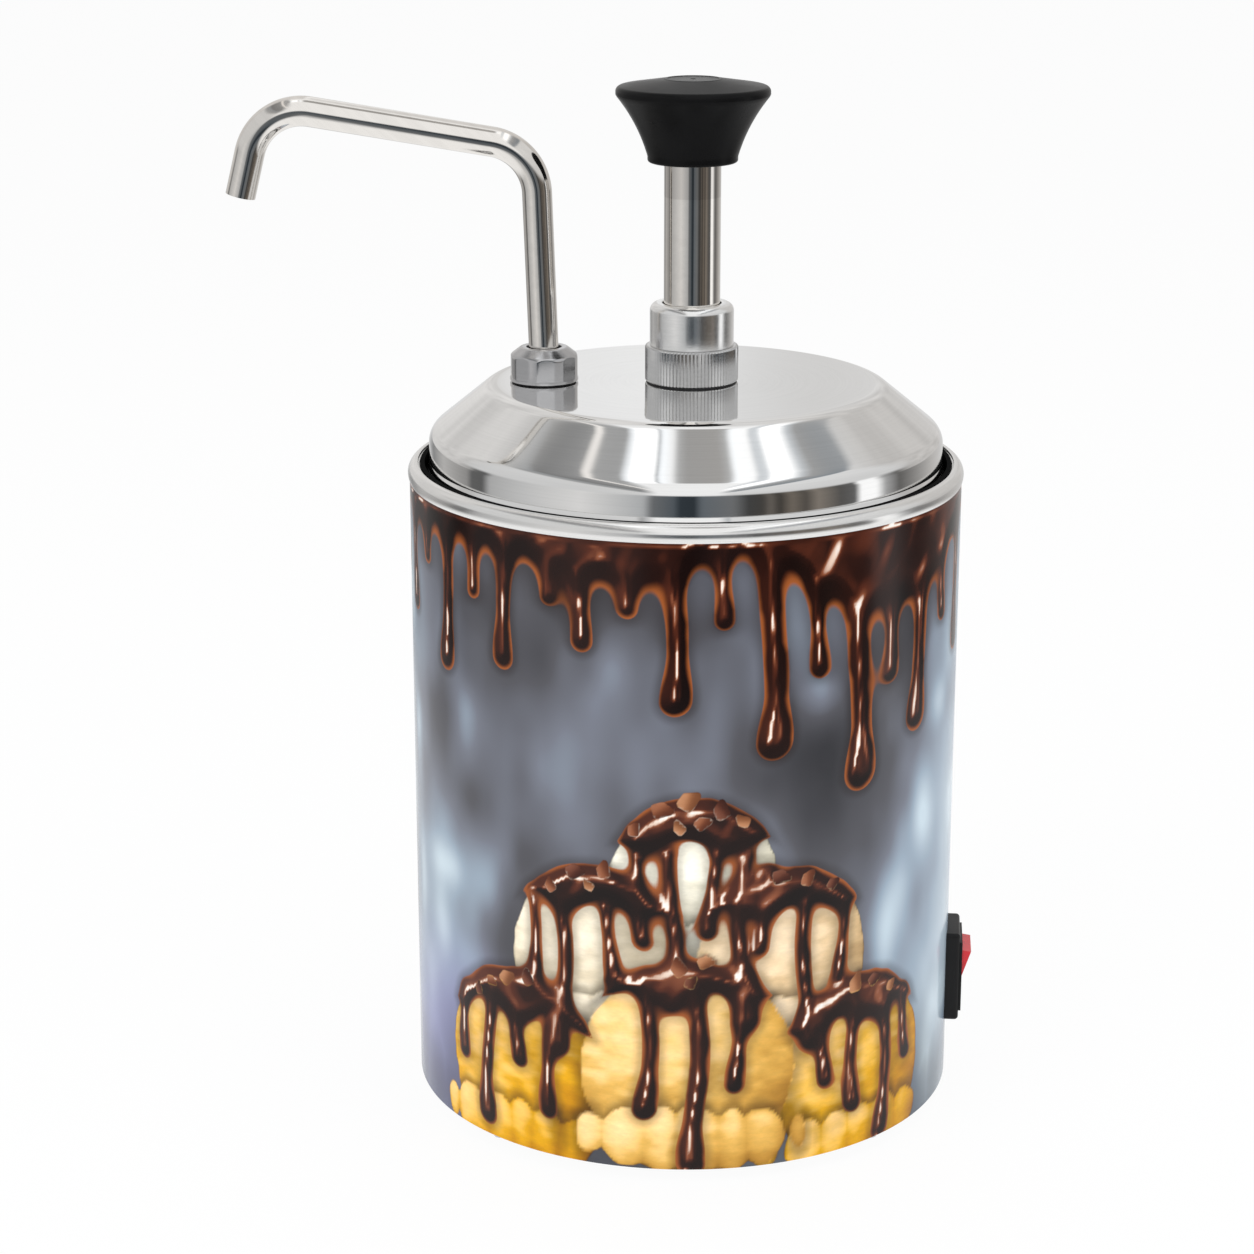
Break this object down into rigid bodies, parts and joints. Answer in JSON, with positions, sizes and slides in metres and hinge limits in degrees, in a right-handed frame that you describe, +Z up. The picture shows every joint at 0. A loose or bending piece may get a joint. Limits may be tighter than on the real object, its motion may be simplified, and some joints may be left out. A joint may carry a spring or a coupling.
{
  "type": "hot fudge topping warmer",
  "caption": "Round heated countertop warmer for dessert topping: wrapped steel cabinet, inset jar, domed lid with a hand pump and a swivelling spout.",
  "frame": {"origin": "on the cabinet's axis, in the plane that the four feet stand on", "axes": "+Z up along the cabinet's axis; the spout points along -X; the switch is on the +X side; the front faces -Y and the cord gland is at the back, +Y"},
  "size_m": [0.3106, 0.2413, 0.4289],
  "materials": {
    "printed_film": "gloss laminated print",
    "cabinet_steel": "plain cold-rolled stainless sheet",
    "rim_steel": "bright satin stainless",
    "vessel_steel": "drawn stainless, fine satin",
    "lid_steel": "polished stainless with fine circular brushing",
    "pump_steel": "turned satin stainless",
    "nut_steel": "machined stainless, darker satin",
    "tube_steel": "polished stainless tube",
    "knob_black": "satin black moulding",
    "switch_black": "fine textured black moulding",
    "rocker_red": "glossy translucent red moulding",
    "seal_black": "black silicone",
    "seal_white": "white food-grade plastic",
    "foot_rubber": "matt black rubber",
    "wool": "mineral wool",
    "spreader_aluminium": "as cast, machined faces",
    "element_sheath": "heat-tinted sheath",
    "bright_zinc": "zinc-plated steel",
    "blade_brass": "tinned brass",
    "block_white": "white terminal plastic",
    "lead_live": "brown insulation",
    "lead_neutral": "blue insulation",
    "lead_earth": "green and yellow insulation"
  },
  "bodies": {
    "root": {"outer_shell": "cabinet_steel", "printed_wrap": "printed_film", "rim_ring": "rim_steel", "water_well": "vessel_steel", "insulation_blanket": "wool", "base_plate": "cabinet_steel", "base_screws": "bright_zinc", "rubber_feet": "foot_rubber", "foot_screws": "bright_zinc", "heat_spreader": "spreader_aluminium", "heating_element": "element_sheath", "element_clamp": "bright_zinc", "clamp_nut": "bright_zinc", "thermostat": "bright_zinc", "thermal_cutout": "bright_zinc", "terminal_block": "block_white", "terminal_block_screws": "bright_zinc", "cord_gland": "switch_black", "gland_nut": "switch_black", "switch_block": "switch_black", "switch_housing": "switch_black", "switch_terminals": "blade_brass", "live_lead": "lead_live", "switch_lead": "lead_live", "link_lead": "lead_live", "heater_lead": "lead_live", "neutral_lead": "lead_neutral", "earth_lead": "lead_earth"},
    "jar": {"food_jar": "vessel_steel"},
    "lid": {"lid": "lid_steel", "lid_gasket": "seal_black", "pump_cylinder": "pump_steel", "under_lid_gasket": "seal_black", "pump_gasket": "seal_black", "pump_collar": "pump_steel", "guide_bush": "seal_white", "wiper_ring": "seal_black", "valve_body": "pump_steel", "inlet_seat": "seal_white", "ball_stop_pin": "pump_steel", "discharge_riser": "tube_steel", "spout_fitting": "pump_steel", "spout_gasket": "seal_black", "return_spring": "tube_steel"},
    "lock_nut": {"knurled_lock_nut": "nut_steel"},
    "plunger": {"plunger_knob": "knob_black", "knob_stud": "pump_steel", "plunger_tube": "tube_steel", "piston_head": "seal_white", "piston_seals": "seal_black"},
    "spout": {"spout_tube": "tube_steel", "spout_ferrule": "pump_steel"},
    "spout_nut": {"spout_nut": "nut_steel"},
    "inlet_ball": {"inlet_ball": "pump_steel"},
    "outlet_ball": {"outlet_ball": "pump_steel"},
    "rocker": {"switch_rocker": "rocker_red"}
  },
  "joints": [
    {"name": "jar_lift", "type": "slide", "parent": "root", "child": "jar", "axis": [0, 0, 1], "range_m": [0, 0.195]},
    {"name": "lid_lift", "type": "slide", "parent": "jar", "child": "lid", "axis": [0, 0, 1], "range_m": [0, 0.185]},
    {"name": "plunger_press", "type": "slide", "parent": "lid", "child": "plunger", "axis": [0, 0, -1], "range_m": [0, 0.05], "stiffness_N_per_m": 500, "springref_m": -0.03, "deforming": ["return_spring"]},
    {"name": "spout_swivel", "type": "hinge", "parent": "lid", "child": "spout", "pos_m": [-0.0582, 0, 0.3126], "axis": [0, 0, 1], "range_deg": [-135, 135]},
    {"name": "lock_nut_turn", "type": "hinge", "parent": "lid", "child": "lock_nut", "pos_m": [0.0023, 0, 0.3137], "axis": [0, 0, 1], "range_deg": [0, 360]},
    {"name": "spout_nut_turn", "type": "hinge", "parent": "lid", "child": "spout_nut", "pos_m": [-0.0582, 0, 0.3126], "axis": [0, 0, 1], "range_deg": [0, 360]},
    {"name": "inlet_ball_lift", "type": "slide", "parent": "lid", "child": "inlet_ball", "axis": [0, 0, 1], "range_m": [0, 0.003]},
    {"name": "outlet_ball_lift", "type": "slide", "parent": "lid", "child": "outlet_ball", "axis": [0, 0, 1], "range_m": [0, 0.0025]},
    {"name": "rocker_tilt", "type": "hinge", "parent": "root", "child": "rocker", "pos_m": [0.11486, -0.01005, 0.051], "axis": [-0.0872, -0.9962, 0], "range_deg": [0, 18.4]}
  ]
}
